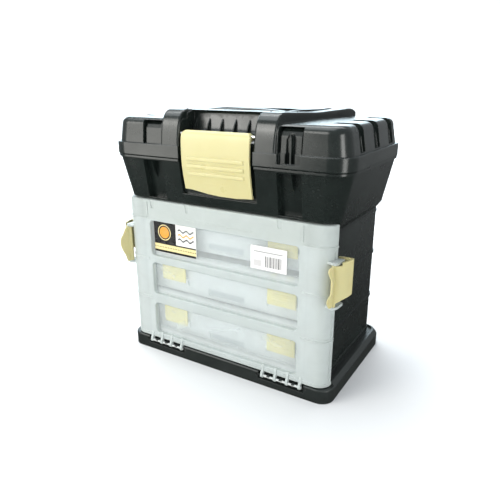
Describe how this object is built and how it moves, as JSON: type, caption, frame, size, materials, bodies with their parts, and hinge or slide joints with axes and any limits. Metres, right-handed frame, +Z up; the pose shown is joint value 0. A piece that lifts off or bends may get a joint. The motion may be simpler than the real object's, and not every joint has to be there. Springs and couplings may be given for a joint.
{
  "type": "fishing tackle cabinet",
  "caption": "Plastic tackle cabinet with drop-down see-through front door, stacked slide-out compartment cases, hinged-lid top bin and snap latches.",
  "frame": {"origin": "middle of the footprint, on the floor", "axes": "+Z up, +Y from the door to the back, +X to the right seen from the front"},
  "size_m": [0.3546, 0.2169, 0.3588],
  "materials": {
    "dark_plastic": "satin moulded polypropylene",
    "base_plastic": "satin moulded polypropylene",
    "latch_plastic": "smooth moulded plastic",
    "door_plastic": "milky see-through polypropylene",
    "case_plastic": "milky clear polypropylene",
    "divider_plastic": "milky clear polypropylene",
    "rod_plastic": "pale moulded plastic",
    "steel": "zinc plated",
    "sticker_print": null,
    "label_white": null
  },
  "bodies": {
    "cabinet": {"base_plinth": "base_plastic", "cabinet_body": "dark_plastic", "upper_container": "dark_plastic", "plinth_screws": "steel", "container_screws": "steel", "lid_hinge_pins": "steel"},
    "lid": {"lid": "dark_plastic", "main_latch_pin": "steel", "handle_pivot_pins": "steel"},
    "main_latch": {"main_latch": "latch_plastic"},
    "handle": {"carry_handle": "dark_plastic"},
    "door": {"front_door": "door_plastic", "door_hinge_rods": "rod_plastic", "label_sticker": "sticker_print", "price_label": "label_white", "side_latch_pins": "steel"},
    "side_latch_right": {"side_latch_right": "latch_plastic"},
    "side_latch_left": {"side_latch_left": "latch_plastic"},
    "case_1": {"case_1_tray": "case_plastic", "case_1_cover": "case_plastic", "case_1_hinge_pins": "steel", "case_1_dividers": "divider_plastic", "case_1_latch_pins": "steel"},
    "case_1_latch_right": {"case_1_latch_right": "latch_plastic"},
    "case_1_latch_left": {"case_1_latch_left": "latch_plastic"},
    "case_2": {"case_2_tray": "case_plastic", "case_2_cover": "case_plastic", "case_2_hinge_pins": "steel", "case_2_dividers": "divider_plastic", "case_2_latch_pins": "steel"},
    "case_2_latch_right": {"case_2_latch_right": "latch_plastic"},
    "case_2_latch_left": {"case_2_latch_left": "latch_plastic"},
    "case_3": {"case_3_tray": "case_plastic", "case_3_cover": "case_plastic", "case_3_hinge_pins": "steel", "case_3_dividers": "divider_plastic", "case_3_latch_pins": "steel"},
    "case_3_latch_right": {"case_3_latch_right": "latch_plastic"},
    "case_3_latch_left": {"case_3_latch_left": "latch_plastic"}
  },
  "joints": [
    {"name": "door_hinge", "type": "hinge", "parent": "cabinet", "child": "door", "pos_m": [0, -0.0975, 0.015], "axis": [1, 0, 0], "range_deg": [0, 92]},
    {"name": "lid_hinge", "type": "hinge", "parent": "cabinet", "child": "lid", "pos_m": [0, 0.1055, 0.2962], "axis": [-1, 0, 0], "range_deg": [0, 100]},
    {"name": "main_latch_hinge", "type": "hinge", "parent": "lid", "child": "main_latch", "pos_m": [0, -0.0935, 0.329], "axis": [-1, 0, 0], "range_deg": [0, 120]},
    {"name": "handle_pivot", "type": "hinge", "parent": "lid", "child": "handle", "pos_m": [0, 0.0235, 0.35], "axis": [-1, 0, 0], "range_deg": [0, 92]},
    {"name": "side_latch_right_pivot", "type": "hinge", "parent": "door", "child": "side_latch_right", "pos_m": [0.1615, -0.0915, 0.16], "axis": [0, 0, -1], "range_deg": [0, 60]},
    {"name": "side_latch_left_pivot", "type": "hinge", "parent": "door", "child": "side_latch_left", "pos_m": [-0.1615, -0.0915, 0.16], "axis": [0, 0, 1], "range_deg": [0, 60]},
    {"name": "case_1_slide", "type": "slide", "parent": "cabinet", "child": "case_1", "axis": [0, -1, 0], "range_m": [0, 0.0292]},
    {"name": "case_1_latch_right_pivot", "type": "hinge", "parent": "case_1", "child": "case_1_latch_right", "pos_m": [0.0886, -0.0805, 0.0485], "axis": [1, 0, 0], "range_deg": [0, 47]},
    {"name": "case_1_latch_left_pivot", "type": "hinge", "parent": "case_1", "child": "case_1_latch_left", "pos_m": [-0.0886, -0.0805, 0.0485], "axis": [1, 0, 0], "range_deg": [0, 47]},
    {"name": "case_2_slide", "type": "slide", "parent": "cabinet", "child": "case_2", "axis": [0, -1, 0], "range_m": [0, 0.1361]},
    {"name": "case_2_latch_right_pivot", "type": "hinge", "parent": "case_2", "child": "case_2_latch_right", "pos_m": [0.0886, -0.0805, 0.1175], "axis": [1, 0, 0], "range_deg": [0, 47]},
    {"name": "case_2_latch_left_pivot", "type": "hinge", "parent": "case_2", "child": "case_2_latch_left", "pos_m": [-0.0886, -0.0805, 0.1175], "axis": [1, 0, 0], "range_deg": [0, 47]},
    {"name": "case_3_slide", "type": "slide", "parent": "cabinet", "child": "case_3", "axis": [0, -1, 0], "range_m": [0, 0.1507]},
    {"name": "case_3_latch_right_pivot", "type": "hinge", "parent": "case_3", "child": "case_3_latch_right", "pos_m": [0.0886, -0.0805, 0.1865], "axis": [1, 0, 0], "range_deg": [0, 47]},
    {"name": "case_3_latch_left_pivot", "type": "hinge", "parent": "case_3", "child": "case_3_latch_left", "pos_m": [-0.0886, -0.0805, 0.1865], "axis": [1, 0, 0], "range_deg": [0, 47]}
  ],
  "couplings": [
    {"joint": "case_1_slide", "follows": "door_hinge", "m_per_rad": 0.018},
    {"joint": "case_1_latch_right_pivot", "follows": "door_hinge", "ratio": 0.5},
    {"joint": "case_1_latch_left_pivot", "follows": "door_hinge", "ratio": 0.5},
    {"joint": "case_2_slide", "follows": "door_hinge", "m_per_rad": 0.084},
    {"joint": "case_2_latch_right_pivot", "follows": "door_hinge", "ratio": 0.5},
    {"joint": "case_2_latch_left_pivot", "follows": "door_hinge", "ratio": 0.5},
    {"joint": "case_3_slide", "follows": "door_hinge", "m_per_rad": 0.093},
    {"joint": "case_3_latch_right_pivot", "follows": "door_hinge", "ratio": 0.5},
    {"joint": "case_3_latch_left_pivot", "follows": "door_hinge", "ratio": 0.5}
  ]
}
